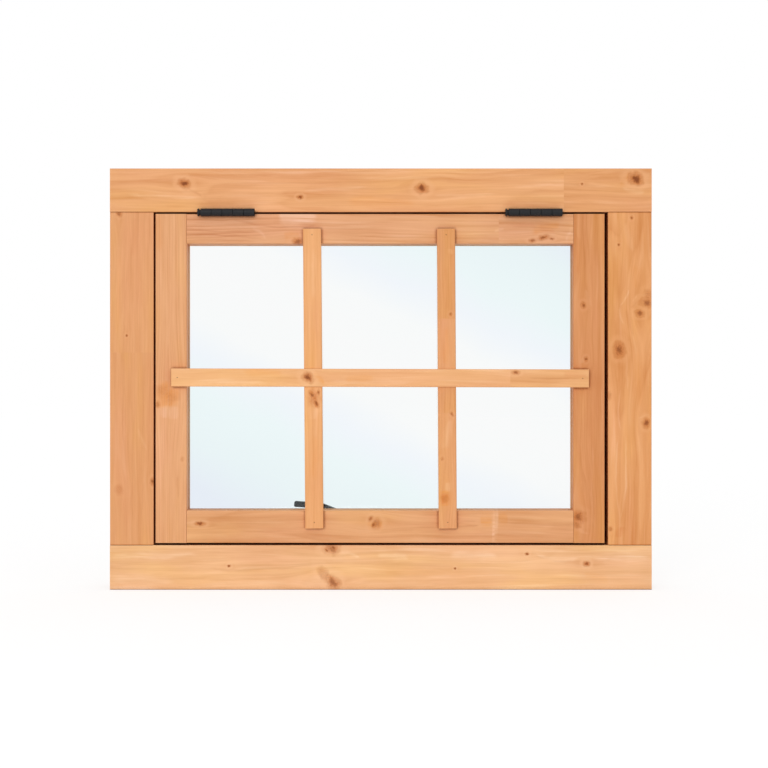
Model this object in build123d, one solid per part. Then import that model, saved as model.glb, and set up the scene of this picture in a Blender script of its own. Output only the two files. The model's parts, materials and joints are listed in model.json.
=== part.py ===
from build123d import *
import math
import os

os.makedirs("parts", exist_ok=True)

# A top-hung timber window with its frame, all lengths in millimetres.
# X runs to the right as seen from outside, Y from the outside to the room, Z up.
# The origin is the middle of the sill's underside, half way through its depth.

# Outer frame
overall_width = 900.0
overall_height = 700.0
frame_depth = 67.0
jamb_width = 72.5
head_height = 72.5
sill_height = 74.0
stop_width = 15.0
frame_tenon_thickness = 20.0
frame_tenon_length = 30.0
frame_tenon_shoulder = 15.0
frame_shoulder_gap = 0.4
mortise_end_gap = 1.0
arris_radius = 1.5

# Gaps between the sash and the frame, as hung
gap_left = 3.2
gap_right = 5.7
gap_top = 3.2
gap_bottom = 3.8
stop_gap = 1.0

# Sash
sash_thickness = 40.0
stile_width = 52.0
top_rail_height = 49.5
bottom_rail_height = 54.0
lip_thickness = 20.0
rebate_width = 12.0
sash_tenon_thickness = 12.0
sash_tenon_length = 30.0
sash_tenon_haunch = 12.0

# Glazing
tape_thickness = 1.0
tape_width = 8.0
tape_setback = 1.5
glass_thickness = 4.0
glass_edge_gap = 2.5
bead_edge_radius = 3.0
bead_gap = 0.2

# Bars planted on the outside face
bar_width = 30.0
upright_bar_thickness = 9.0
cross_bar_thickness = 12.0
bar_edge_radius = 2.0
bar_spacing = 221.5
bar_left_lean = 0.45
bar_right_lean = 0.34
cross_bar_tilt = 0.14
cross_bar_drop = 1.5
upright_bar_top_lap = 24.0
upright_bar_bottom_lap = 29.0
cross_bar_end_lap = 24.0
halving_seat = 5.0
halving_gap = 0.2

# Butt hinges
hinge_length = 89.0
hinge_left_distance = 79.5
hinge_right_distance = 77.0
leaf_width = 38.0
leaf_thickness = 2.4
leaf_gap = 1.6
knuckle_count = 5
knuckle_gap = 0.3
knuckle_relief = 0.6
knuckle_chamfer = 0.4
barrel_radius = 6.4
barrel_projection = 7.0
hinge_pin_radius = 3.1
pin_head_thickness = 3.2
pin_neck_length = 2.2
pin_neck_radius = 4.4
gain_gap = 0.2
hinge_screw_end_distance = 14.0
hinge_screw_edge_distance = 8.0
hinge_screw_stagger = 10.0

# Stay: bracket, fork and arm
stay_x = 150.0
stay_axis_depth = 10.5
bracket_length = 44.0
bracket_height = 25.0
bracket_drop = 8.0
bracket_thickness = 3.0
bracket_corner_radius = 4.0
bracket_screw_spacing = 32.0
lug_height = 8.0
lug_radius = 6.0
lug_gap = 1.0
fork_reach = 14.0
fork_width = 12.0
fork_end_radius = 5.5
fork_top_gap = 0.3
tongue_width = 6.0
tongue_gap = 0.3
eye_radius = 4.8
eye_gap = 0.8
rivet_radius = 2.5
rivet_head_radius = 5.0
rivet_head_height = 2.4
rivet_head_chamfer = 1.4
arm_pin_radius = 2.0
arm_length = 285.0
arm_thickness = 5.0
arm_width = 12.0
arm_shoulder = 9.5
grip_length = 49.0
grip_thickness = 9.5
grip_end_radius = 2.5
neck_length = 60.0
neck_rise = 18.0
neck_skew = 3.0
neck_bend_radius = 30.0
arm_edge_radius = 1.2
arm_raise = 4.0

# Pegs on the sill's stop
peg_neck_distance = 26.0
peg_hole_count = 3
peg_hole_pitch = 50.0
peg_hole_gap = 0.6
peg_radius = 3.0
peg_shoulder_radius = 5.0
peg_shoulder_height = 6.2
peg_clearance = 1.8
peg_seat_gap = 0.3
peg_point_chamfer = 1.0
peg_plate_length = 44.0
peg_plate_width = 13.0
peg_plate_thickness = 2.5
peg_screw_spacing = 32.0
open_peg_offset = 30.0
open_peg_inset = 3.0

# Fasteners
hinge_screw_head_radius = 4.0
hinge_screw_radius = 2.0
hinge_screw_length = 30.0
stay_screw_head_radius = 3.4
stay_screw_radius = 1.7
stay_screw_length = 18.0
screw_point = 4.0
recess_share = 1.1
recess_width = 0.9
recess_depth = 1.2
brad_width = 1.4
brad_thickness = 1.1
brad_length = 24.0
brad_sink = 0.4
bar_brad_end_distance = 10.0
bead_brad_end_distance = 60.0
bead_brad_pitch = 175.0

# Fits
fixed_fit = 0.02
running_fit = 0.06
screw_fit = 0.05
same_size = 0.01

# Places that follow from the sizes above
face_y = -frame_depth / 2
seat_depth = sash_thickness + stop_gap
half_width = overall_width / 2
sash_left = -half_width + jamb_width + gap_left
sash_right = half_width - jamb_width - gap_right
sash_bottom = sill_height + gap_bottom
sash_top = overall_height - head_height - gap_top
sash_back = face_y + sash_thickness
sight_left = sash_left + stile_width
sight_right = sash_right - stile_width
sight_bottom = sash_bottom + bottom_rail_height
sight_top = sash_top - top_rail_height
lip_back = face_y + lip_thickness
glass_front = lip_back + tape_thickness
glass_back = glass_front + glass_thickness
hinge_axis_y = face_y - barrel_projection
hinge_axis_z = sash_top + gap_top / 2
stop_top = sill_height + stop_width
stay_y = sash_back + stay_axis_depth
peg_plate_top = stop_top + peg_plate_thickness


def arc_corners(points, rounds):
    """A face through the points, with the corners in rounds cut to their radii."""
    face = make_face(Polyline(*points, close=True))
    for index, radius in rounds.items():
        corner = face.vertices().sort_by_distance(Vector(*points[index]))[0]
        face = fillet(corner, radius)
    return face


def run_of(face, start, across, length):
    """A member with the profile face: across is its face width's direction, Y its depth."""
    direction = Vector(*across)
    plane = Plane(origin=start, x_dir=direction, z_dir=direction.cross(Vector(0, 1, 0)))
    return extrude(plane * face, length)


def block(low, high):
    """A box between two corners."""
    size = [b - a for a, b in zip(low, high)]
    middle = [(a + b) / 2 for a, b in zip(low, high)]
    return Pos(*middle) * Box(*size)


def together(solids):
    """Separate solids that are kept as one group."""
    return Compound(children=[solid for shape in solids for solid in shape.solids()])


def turned(points):
    """A round piece about Z, from its half outline of radius and height pairs."""
    outline = make_face(Polyline(*[(radius, 0, height) for radius, height in points], close=True))
    return revolve(outline, Axis.Z)


def facing(point, outward):
    """The place of a fastener whose head lies at the point and looks outward."""
    return Plane(origin=point, z_dir=outward).location


def screw_outline(head_radius, radius, length):
    """Half the outline of a countersunk screw, its head's top at the origin."""
    return [
        (0, 0),
        (head_radius, 0),
        (radius, radius - head_radius),
        (radius, screw_point - length),
        (0, -length),
    ]


def screw_hole(head_radius, radius, length):
    """The hole that a screw leaves, a little larger than the screw and open above it."""
    outline = screw_outline(head_radius + screw_fit, radius + screw_fit, length + screw_fit)
    return turned(outline) + Pos(0, 0, screw_fit) * Cylinder(head_radius + screw_fit, 2 * screw_fit)


def screw(head_radius, radius, length):
    """A countersunk screw with a crossed recess."""
    arm = Box(recess_share * head_radius, recess_width, 2 * recess_depth)
    return turned(screw_outline(head_radius, radius, length)) - arm - Rot(0, 0, 90) * arm


def brad():
    """A headless nail of flat wire, driven in by its sink."""
    wire = Box(brad_width, brad_thickness, brad_length)
    return Pos(0, 0, -brad_sink - brad_length / 2) * wire


def brad_hole():
    """The hole of a brad, open above its sunken end."""
    gap = 2 * screw_fit
    hole = Box(brad_width + gap, brad_thickness + gap, brad_length + 2 * brad_sink + gap)
    return Pos(0, 0, -brad_length / 2) * hole


# Frame: head and sill run through, the jambs stand between them
def frame_profile(width, arris):
    """The section of a frame member: face width, then depth, with the stop behind the sash."""
    corners = [
        (0, 0),
        (width, 0),
        (width, seat_depth),
        (width + stop_width, seat_depth),
        (width + stop_width, frame_depth),
        (0, frame_depth),
    ]
    return arc_corners(corners, {index: arris for index in (0, 1, 3, 4, 5) if arris})


def frame_head_run(arris):
    profile = frame_profile(head_height, arris)
    return run_of(profile, (-half_width, face_y, overall_height), (0, 0, -1), overall_width)


def frame_sill_run(arris):
    profile = frame_profile(sill_height, arris)
    return run_of(profile, (half_width, face_y, 0), (0, 0, 1), overall_width)


def jamb_tenon(end_gap):
    """The stub tenons at both ends of the left jamb, in one upright block."""
    middle_y = face_y + seat_depth / 2
    reach = frame_tenon_length + end_gap
    return block(
        (
            -half_width + frame_tenon_shoulder,
            middle_y - frame_tenon_thickness / 2,
            sill_height - reach,
        ),
        (
            -half_width + jamb_width - frame_tenon_shoulder,
            middle_y + frame_tenon_thickness / 2,
            overall_height - head_height + reach,
        ),
    )


def make_jamb():
    """The left jamb, its ends scribed over the head and the sill, with open shoulders."""
    profile = frame_profile(jamb_width, arris_radius)
    jamb = run_of(profile, (-half_width, face_y, 0), (1, 0, 0), overall_height)
    for gap in (0, frame_shoulder_gap):
        jamb -= Pos(0, 0, -gap) * frame_head_run(0)
        jamb -= Pos(0, 0, gap) * frame_sill_run(0)
    return jamb + jamb_tenon(0)


mortise_left = jamb_tenon(mortise_end_gap)
mortise_right = mirror(mortise_left, about=Plane.YZ)


# Hinges: axis along X, just in front of the face and level with the top gap
hinge_places = {
    "left": -half_width + jamb_width + hinge_left_distance + hinge_length / 2,
    "right": half_width - jamb_width - hinge_right_distance - hinge_length / 2,
}
knuckle_length = (hinge_length - (knuckle_count - 1) * knuckle_gap) / knuckle_count
leaf_end_y = hinge_axis_y + leaf_width


def along_hinge(x):
    """The plane square to the hinge axis at x, with Y across and Z up."""
    return Plane(origin=(x, hinge_axis_y, hinge_axis_z), x_dir=(0, 1, 0), z_dir=(1, 0, 0))


def leaf_profile(side, bore):
    """The section of a leaf: the curled barrel and the plate, above (1) or below (-1) the axis."""
    low = leaf_gap / 2
    start = (barrel_radius + bore) / 2
    plate = Pos((start + leaf_width) / 2, side * (low + leaf_thickness / 2)) * Rectangle(
        leaf_width - start, leaf_thickness
    )
    return Circle(barrel_radius) + plate - Circle(bore)


def knuckle_space(left, index):
    """The room that one knuckle of the other leaf takes, with its gaps."""
    start = left + index * (knuckle_length + knuckle_gap)
    outside = knuckle_length if index in (0, knuckle_count - 1) else 0
    before = outside if index == 0 else knuckle_gap
    after = outside if index == knuckle_count - 1 else knuckle_gap
    ring = Circle(barrel_radius + knuckle_relief)
    return extrude(along_hinge(start - before) * ring, knuckle_length + before + after)


def leaf_screw_places(middle, side):
    """Where a leaf's screw heads lie, flush with the side that looks at the other leaf."""
    reach = hinge_length / 2 - hinge_screw_end_distance
    z = hinge_axis_z + side * leaf_gap / 2
    outer_y = leaf_end_y - hinge_screw_edge_distance
    spots = [(-reach, outer_y), (0, outer_y - hinge_screw_stagger), (reach, outer_y)]
    return [facing((middle + x, y, z), (0, 0, -side)) for x, y in spots]


def hinge_screw_hole():
    return screw_hole(hinge_screw_head_radius, hinge_screw_radius, hinge_screw_length)


def make_leaf(middle, side, fit):
    """A hinge leaf: side 1 is let into the head, side -1 into the sash."""
    left = middle - hinge_length / 2
    leaf = extrude(along_hinge(left) * leaf_profile(side, hinge_pin_radius + fit), hinge_length)
    others = [index for index in range(knuckle_count) if (index % 2 == 0) == (side < 0)]
    for index in others:
        leaf -= knuckle_space(left, index)
    rims = leaf.edges().filter_by(GeomType.CIRCLE).filter_by(
        lambda edge: abs(edge.radius - barrel_radius) < same_size
    )
    leaf = chamfer(rims, knuckle_chamfer)
    for place in leaf_screw_places(middle, side):
        leaf -= place * hinge_screw_hole()
    return leaf


def make_hinge_pin(middle):
    """The hinge pin, with a neck and a button head beyond the left end of the barrel."""
    reach = pin_neck_length + pin_head_thickness
    round_off = pin_head_thickness / 4
    pin = turned([
        (0, 0),
        (hinge_pin_radius, 0),
        (hinge_pin_radius, hinge_length),
        (pin_neck_radius, hinge_length),
        (pin_neck_radius, hinge_length + pin_neck_length),
        (barrel_radius - round_off, hinge_length + pin_neck_length),
        (barrel_radius, hinge_length + pin_neck_length + round_off),
        (barrel_radius, hinge_length + reach - round_off),
        (barrel_radius - round_off, hinge_length + reach),
        (0, hinge_length + reach),
    ])
    right_end = (middle + hinge_length / 2, hinge_axis_y, hinge_axis_z)
    return Plane(origin=right_end, z_dir=(-1, 0, 0)).location * pin


def leaf_gain(middle, side):
    """The shallow recess that a leaf is let into, open to the outside face."""
    half = hinge_length / 2 + gain_gap
    inner = hinge_axis_z
    outer = hinge_axis_z + side * (leaf_gap / 2 + leaf_thickness)
    return block(
        (middle - half, face_y - barrel_radius, min(inner, outer)),
        (middle + half, leaf_end_y + gain_gap, max(inner, outer)),
    )


def hinge_cuts(side):
    """What the leaves and their screws take out of the head (1) or the sash (-1)."""
    cuts = [leaf_gain(middle, side) for middle in hinge_places.values()]
    for middle in hinge_places.values():
        for place in leaf_screw_places(middle, side):
            cuts.append(place * hinge_screw_hole())
    return cuts


def make_hinge_screws(side):
    """The six screws of both hinges' leaves on one side."""
    one = screw(hinge_screw_head_radius, hinge_screw_radius, hinge_screw_length)
    places = [p for middle in hinge_places.values() for p in leaf_screw_places(middle, side)]
    return together([place * one for place in places])


# Stay: an upright pivot in the bracket's lug, a level pivot in the fork, pegs below the arm
stay_z = peg_plate_top + peg_shoulder_height + peg_seat_gap + arm_thickness / 2
lift_x = stay_x - fork_reach
lug_bottom = stay_z + fork_end_radius + lug_gap
fork_bottom = stay_z - fork_end_radius
neck_end = arm_length - grip_length
neck_start = neck_end - neck_length
peg_distance = neck_start - peg_neck_distance
raise_angle = math.radians(arm_raise)
raised_underside = (
    stay_z
    + (peg_distance - peg_radius) * math.sin(raise_angle)
    - arm_thickness / 2 * math.cos(raise_angle)
)
peg_tip = raised_underside - peg_clearance
peg_places = {
    "closed": (lift_x - peg_distance, stay_y),
    "open": (stay_x + open_peg_offset, stay_y + open_peg_inset),
}


def bracket_screw_places():
    z = stay_z - bracket_drop + bracket_height / 2
    y = sash_back + bracket_thickness
    half = bracket_screw_spacing / 2
    return [facing((stay_x + side * half, y, z), (0, 1, 0)) for side in (-1, 1)]


def peg_screw_places():
    half = peg_screw_spacing / 2
    return [
        facing((x + side * half, y, peg_plate_top), (0, 0, 1))
        for x, y in peg_places.values()
        for side in (-1, 1)
    ]


def stay_screw_hole():
    return screw_hole(stay_screw_head_radius, stay_screw_radius, stay_screw_length)


def make_bracket():
    """The plate on the bottom rail's room side, with the lug that the fork turns in."""
    middle = (stay_x, sash_back, stay_z - bracket_drop + bracket_height / 2)
    plate_plane = Plane(origin=middle, x_dir=(-1, 0, 0), z_dir=(0, 1, 0))
    outline = RectangleRounded(bracket_length, bracket_height, bracket_corner_radius)
    plate = extrude(plate_plane * outline, bracket_thickness)
    reach = stay_y - sash_back
    web = Pos(0, -reach / 2) * Rectangle(2 * lug_radius, reach)
    lug = extrude(Pos(stay_x, stay_y, lug_bottom) * (Circle(lug_radius) + web), lug_height)
    bore = Pos(stay_x, stay_y, lug_bottom + lug_height / 2) * Cylinder(
        rivet_radius + running_fit, 2 * lug_height
    )
    bracket = plate + lug - bore
    for place in bracket_screw_places():
        bracket -= place * stay_screw_hole()
    return bracket


def make_swivel():
    """The fork: a boss under the lug and two cheeks that hold the arm's tongue."""
    side_plane = Plane(
        origin=(lift_x, stay_y + fork_width / 2, stay_z), x_dir=(1, 0, 0), z_dir=(0, -1, 0)
    )
    cheek = Circle(fork_end_radius) + Pos(fork_reach / 2, 0) * Rectangle(
        fork_reach, 2 * fork_end_radius
    )
    boss_height = lug_bottom - fork_top_gap - fork_bottom
    boss = extrude(Pos(stay_x, stay_y, fork_bottom) * Circle(fork_width / 2), boss_height)
    half_slot = tongue_width / 2 + tongue_gap
    slot = block(
        (lift_x - 2 * fork_end_radius, stay_y - half_slot, fork_bottom - fork_end_radius),
        (lift_x + eye_radius + eye_gap, stay_y + half_slot, stay_z + 2 * fork_end_radius),
    )
    pin_hole = side_plane * Cylinder(arm_pin_radius + fixed_fit, 3 * fork_width)
    rivet_hole = Pos(stay_x, stay_y, stay_z) * Cylinder(rivet_radius + fixed_fit, 6 * fork_end_radius)
    return extrude(side_plane * cheek, fork_width) + boss - slot - pin_hole - rivet_hole


def make_rivet():
    """The rivet through lug and boss, with a chamfered head on the lug."""
    head = Cylinder(
        rivet_head_radius, rivet_head_height, align=(Align.CENTER, Align.CENTER, Align.MIN)
    )
    head = chamfer(head.edges().sort_by(Axis.Z)[-1], rivet_head_chamfer)
    shank_length = lug_bottom + lug_height - fork_bottom
    shank = Cylinder(rivet_radius, shank_length, align=(Align.CENTER, Align.CENTER, Align.MAX))
    return Pos(stay_x, stay_y, lug_bottom + lug_height) * (head + shank)


def make_arm_pin():
    """The level pin that the arm lifts about, flush with the cheeks."""
    return Pos(lift_x, stay_y, stay_z) * Rot(90, 0, 0) * Cylinder(arm_pin_radius, fork_width)


def arm_outline():
    """The arm from the side: eye, flat with peg holes, neck, thicker grip."""
    half = arm_thickness / 2
    grip_low = neck_rise - grip_thickness / 2
    grip_high = neck_rise + grip_thickness / 2
    corners = [
        (0, half),
        (neck_start - neck_skew, half),
        (neck_end + neck_skew, grip_high),
        (arm_length, grip_high),
        (arm_length, grip_low),
        (neck_end - neck_skew, grip_low),
        (neck_start + neck_skew, -half),
        (0, -half),
    ]
    bends = {index: neck_bend_radius for index in (1, 2, 5, 6)}
    tips = {index: grip_end_radius for index in (3, 4)}
    return arc_corners(corners, bends | tips)


def make_arm():
    """The arm, level in its own plane and then raised clear of the pegs."""
    pivot = (lift_x, stay_y, stay_z)
    side_plane = Plane(origin=pivot, x_dir=(-1, 0, 0), z_dir=(0, 1, 0))
    bar = extrude(side_plane * arm_outline(), arm_width / 2, both=True)
    rims = bar.edges().filter_by(
        lambda edge: abs(abs(edge.center().Y - stay_y) - arm_width / 2) < same_size
    )
    bar = fillet(rims, arm_edge_radius)
    bar += extrude(side_plane * Circle(eye_radius), arm_width / 2, both=True)
    far = 2 * eye_radius
    for side in (-1, 1):
        inner = stay_y + side * tongue_width / 2
        outer = stay_y + side * arm_width
        bar -= block(
            (lift_x - arm_shoulder, min(inner, outer), stay_z - far),
            (lift_x + far, max(inner, outer), stay_z + far),
        )
    bar -= side_plane * Cylinder(arm_pin_radius + running_fit, 2 * arm_width)
    for index in range(peg_hole_count):
        hole = Cylinder(peg_radius + peg_hole_gap, 4 * arm_thickness)
        bar -= Pos(lift_x - peg_distance + index * peg_hole_pitch, stay_y, stay_z) * hole
    return bar.rotate(Axis(pivot, (0, 1, 0)), arm_raise)


def make_peg(x, y):
    """A peg riveted into its plate, with the shoulder that the arm rests on."""
    shoulder_top = peg_plate_top + peg_shoulder_height
    peg = turned([
        (0, stop_top),
        (peg_radius, stop_top),
        (peg_radius, peg_plate_top),
        (peg_shoulder_radius, peg_plate_top),
        (peg_shoulder_radius, shoulder_top),
        (peg_radius, shoulder_top),
        (peg_radius, peg_tip - peg_point_chamfer),
        (peg_radius - peg_point_chamfer, peg_tip),
        (0, peg_tip),
    ])
    return Pos(x, y, 0) * peg


def make_peg_plate(x, y):
    """A round-ended plate on the sill's stop."""
    outline = SlotOverall(peg_plate_length, peg_plate_width)
    plate = extrude(Pos(x, y, stop_top) * outline, peg_plate_thickness)
    plate -= Pos(x, y, stop_top) * Cylinder(peg_radius + fixed_fit, 4 * peg_plate_thickness)
    for place in peg_screw_places():
        plate -= place * stay_screw_hole()
    return plate


# Sash: stiles run through, rails are tenoned into them
def sash_profile(width, arris):
    """The section of a sash member: face width, then depth, rebated from the room side."""
    corners = [
        (0, 0),
        (width, 0),
        (width, lip_thickness),
        (width - rebate_width, lip_thickness),
        (width - rebate_width, sash_thickness),
        (0, sash_thickness),
    ]
    return arc_corners(corners, {index: arris for index in (0, 1, 5) if arris})


def stile_left_run(arris):
    profile = sash_profile(stile_width, arris)
    return run_of(profile, (sash_left, face_y, sash_bottom), (1, 0, 0), sash_top - sash_bottom)


def stile_right_run(arris):
    profile = sash_profile(stile_width, arris)
    return run_of(profile, (sash_right, face_y, sash_top), (-1, 0, 0), sash_top - sash_bottom)


def sash_tenons(low, high, end_gap):
    """The tenons at both ends of a rail between two heights, in one level block."""
    middle_y = face_y + sash_thickness / 2
    reach = sash_tenon_length + end_gap
    return block(
        (sight_left - reach, middle_y - sash_tenon_thickness / 2, low),
        (sight_right + reach, middle_y + sash_tenon_thickness / 2, high),
    )


top_tenon = (sight_top + rebate_width, sash_top - sash_tenon_haunch)
bottom_tenon = (sash_bottom + sash_tenon_haunch, sight_bottom - rebate_width)


def make_rail(width, start, across, tenon):
    """A rail, its shoulders scribed to the stiles' rebates."""
    length = sight_right - sight_left + 2 * rebate_width
    rail = run_of(sash_profile(width, arris_radius), start, across, length)
    return rail - stile_left_run(0) - stile_right_run(0) + sash_tenons(*tenon, 0)


def make_top_rail():
    start = (sight_left - rebate_width, face_y, sash_top)
    rail = make_rail(top_rail_height, start, (0, 0, -1), top_tenon)
    for cut in hinge_cuts(-1):
        rail -= cut
    return rail


def make_bottom_rail():
    start = (sight_right + rebate_width, face_y, sash_bottom)
    rail = make_rail(bottom_rail_height, start, (0, 0, 1), bottom_tenon)
    for place in bracket_screw_places():
        rail -= place * stay_screw_hole()
    return rail


# Glazing: pane and tape in the rebate, mitred beads behind them
def make_pane():
    grow = rebate_width - glass_edge_gap
    return block(
        (sight_left - grow, glass_front, sight_bottom - grow),
        (sight_right + grow, glass_back, sight_top + grow),
    )


def make_tape():
    outer = tape_setback + tape_width
    ring = block(
        (sight_left - outer, lip_back, sight_bottom - outer),
        (sight_right + outer, glass_front, sight_top + outer),
    )
    return ring - block(
        (sight_left - tape_setback, lip_back - tape_thickness, sight_bottom - tape_setback),
        (sight_right + tape_setback, glass_back, sight_top + tape_setback),
    )


bead_outer = rebate_width - bead_gap
sight_corners = {
    "bottom": ((sight_left, sight_bottom), (sight_right, sight_bottom)),
    "right": ((sight_right, sight_bottom), (sight_right, sight_top)),
    "top": ((sight_right, sight_top), (sight_left, sight_top)),
    "left": ((sight_left, sight_top), (sight_left, sight_bottom)),
}


def bead_frame(start, end):
    """The plane of a bead: along it, into the room, with its sight edge on the local X axis."""
    along = Vector(end[0] - start[0], 0, end[1] - start[1])
    plane = Plane(origin=(start[0], glass_back, start[1]), x_dir=along, z_dir=(0, 1, 0))
    return plane, along.length


def make_bead(start, end):
    """A glazing bead, mitred at both ends and rounded along its free edge."""
    plane, length = bead_frame(start, end)
    outline = make_face(Polyline(
        (0, 0),
        (length, 0),
        (length + bead_outer, bead_outer),
        (-bead_outer, bead_outer),
        close=True,
    ))
    bead = extrude(plane * outline, sash_back - glass_back)
    middle = plane * Pos(length / 2, 0, sash_back - glass_back)
    edge = bead.edges().sort_by_distance(middle.position)[0]
    return fillet(edge, bead_edge_radius)


def bead_brad_places(start, end):
    """Where a bead's brads go in: evenly spaced, about one pitch apart."""
    plane, length = bead_frame(start, end)
    between = length - 2 * bead_brad_end_distance
    spaces = max(1, round(between / bead_brad_pitch))
    depth = (sash_back - glass_back - bead_edge_radius) / 2
    spots = [
        plane.from_local_coords((bead_brad_end_distance + index * between / spaces, 0, depth))
        for index in range(spaces + 1)
    ]
    return [facing(spot, -plane.y_dir) for spot in spots]


all_bead_brads = [p for ends in sight_corners.values() for p in bead_brad_places(*ends)]


# Bars: two uprights halved under one cross bar, nailed on at their ends
sight_middle_x = (sight_left + sight_right) / 2
upright_low = sight_bottom - upright_bar_bottom_lap
upright_high = sight_top + upright_bar_top_lap
upright_length = upright_high - upright_low
cross_length = sight_right - sight_left + 2 * cross_bar_end_lap
upright_places = {
    "left": Pos(sight_middle_x - bar_spacing / 2, face_y, (upright_low + upright_high) / 2)
    * Rot(0, -bar_left_lean, 0),
    "right": Pos(sight_middle_x + bar_spacing / 2, face_y, (upright_low + upright_high) / 2)
    * Rot(0, -bar_right_lean, 0),
}
cross_place = (
    Pos(sight_middle_x, face_y, (sight_bottom + sight_top) / 2 - cross_bar_drop)
    * Rot(0, 90 + cross_bar_tilt, 0)
)


def bar_blank(thickness, length):
    """A bar along Z with its back on the origin's plane and its two front arrises rounded."""
    half = bar_width / 2
    corners = [(-half, 0), (half, 0), (half, -thickness), (-half, -thickness)]
    profile = arc_corners(corners, {2: bar_edge_radius, 3: bar_edge_radius})
    return extrude(Pos(0, 0, -length / 2) * profile, length)


def halving(near, far, length):
    """The slot that one bar takes out of another, between two depths in front of the face."""
    half = bar_width / 2 + halving_gap
    return block((-half, -far, -length / 2), (half, -near, length / 2))


def bar_brad_places(place, thickness, length):
    reach = length / 2 - bar_brad_end_distance
    return [
        place * facing((0, -thickness, side * reach), (0, -1, 0))
        for side in (-1, 1)
    ]


upright_brads = {
    name: bar_brad_places(place, upright_bar_thickness, upright_length)
    for name, place in upright_places.items()
}
cross_brads = bar_brad_places(cross_place, cross_bar_thickness, cross_length)
all_bar_brads = upright_brads["left"] + upright_brads["right"] + cross_brads


def with_brad_holes(shape, places):
    for place in places:
        shape -= place * brad_hole()
    return shape


def make_upright(name):
    bar = upright_places[name] * bar_blank(upright_bar_thickness, upright_length)
    bar -= cross_place * halving(halving_seat, 2 * cross_bar_thickness, cross_length)
    return with_brad_holes(bar, upright_brads[name])


def make_cross_bar():
    bar = cross_place * bar_blank(cross_bar_thickness, cross_length)
    for place in upright_places.values():
        bar -= place * halving(-halving_seat, halving_seat + halving_gap, upright_length)
    return with_brad_holes(bar, cross_brads)


# Cuts that fastenings make in the timber behind them


def make_head():
    head = frame_head_run(arris_radius) - mortise_left - mortise_right
    for cut in hinge_cuts(1):
        head -= cut
    return head


def make_sill():
    sill = frame_sill_run(arris_radius) - mortise_left - mortise_right
    for place in peg_screw_places():
        sill -= place * stay_screw_hole()
    return sill


def make_stile(run):
    for tenon in (top_tenon, bottom_tenon):
        run -= sash_tenons(*tenon, mortise_end_gap)
    return run


def save(name, shape):
    export_step(shape, f"parts/{name}.step")


jamb_left = make_jamb()
save("frame_head", make_head())
save("frame_sill", make_sill())
save("frame_jamb_left", jamb_left)
save("frame_jamb_right", mirror(jamb_left, about=Plane.YZ))

for name, middle in hinge_places.items():
    save(f"hinge_{name}_frame_leaf", make_leaf(middle, 1, fixed_fit))
    save(f"hinge_{name}_sash_leaf", make_leaf(middle, -1, running_fit))
    save(f"hinge_{name}_pin", make_hinge_pin(middle))
save("hinge_frame_screws", make_hinge_screws(1))
save("hinge_sash_screws", make_hinge_screws(-1))

for name, run in (("left", stile_left_run), ("right", stile_right_run)):
    stile = make_stile(run(arris_radius))
    save(f"sash_stile_{name}", with_brad_holes(stile, all_bead_brads + cross_brads))
save("sash_rail_top", with_brad_holes(make_top_rail(), all_bead_brads + all_bar_brads))
save("sash_rail_bottom", with_brad_holes(make_bottom_rail(), all_bead_brads + all_bar_brads))

save("glass_pane", make_pane())
save("glazing_tape", make_tape())
for name, ends in sight_corners.items():
    save(f"glazing_bead_{name}", with_brad_holes(make_bead(*ends), bead_brad_places(*ends)))
save("bead_nails", together([place * brad() for place in all_bead_brads]))

save("bar_left", make_upright("left"))
save("bar_right", make_upright("right"))
save("bar_cross", make_cross_bar())
save("bar_nails", together([place * brad() for place in all_bar_brads]))

stay_screw = screw(stay_screw_head_radius, stay_screw_radius, stay_screw_length)
save("stay_bracket", make_bracket())
save("stay_bracket_screws", together([place * stay_screw for place in bracket_screw_places()]))
save("stay_swivel", make_swivel())
save("stay_rivet", make_rivet())
save("stay_arm_pin", make_arm_pin())
save("stay_arm", make_arm())
for name, place in peg_places.items():
    save(f"stay_peg_{name}", make_peg(*place))
    save(f"stay_peg_{name}_plate", make_peg_plate(*place))
save("stay_peg_screws", together([place * stay_screw for place in peg_screw_places()]))
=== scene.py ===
import json
import math

import bmesh
import bpy
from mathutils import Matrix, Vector


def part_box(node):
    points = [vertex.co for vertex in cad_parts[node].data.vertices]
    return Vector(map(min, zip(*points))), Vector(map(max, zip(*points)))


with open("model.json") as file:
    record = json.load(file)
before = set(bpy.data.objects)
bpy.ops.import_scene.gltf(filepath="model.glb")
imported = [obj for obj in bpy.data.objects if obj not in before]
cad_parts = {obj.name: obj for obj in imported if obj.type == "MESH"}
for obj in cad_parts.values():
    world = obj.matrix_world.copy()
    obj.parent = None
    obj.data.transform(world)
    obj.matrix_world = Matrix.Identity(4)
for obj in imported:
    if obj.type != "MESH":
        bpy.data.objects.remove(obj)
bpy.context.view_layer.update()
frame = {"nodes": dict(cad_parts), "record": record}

scene = bpy.context.scene
nodes = frame["nodes"]
mm = 0.001
print("frame loaded with", len(nodes), "nodes")


# screen colour, 0 to 255 a channel, as the linear colour that a shader takes
def screenColour(red, green, blue):
    channels = []
    for value in (red / 255, green / 255, blue / 255):
        channels.append(value / 12.92 if value <= 0.04045 else ((value + 0.055) / 1.055) ** 2.4)
    return (*channels, 1.0)


# a value or another node's output, put into a socket
def feed(tree, socket, value):
    if isinstance(value, bpy.types.NodeSocket):
        tree.links.new(value, socket)
    else:
        socket.default_value = value


def addNode(tree, kind, inputs=None, **settings):
    new = tree.nodes.new(kind)
    for key, value in settings.items():
        setattr(new, key, value)
    for key, value in (inputs or {}).items():
        feed(tree, new.inputs[key], value)
    return new


def mathOf(tree, operation, *values, clamp=False):
    new = addNode(tree, "ShaderNodeMath", operation=operation, use_clamp=clamp)
    for slot, value in enumerate(values):
        feed(tree, new.inputs[slot], value)
    return new.outputs[0]


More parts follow.
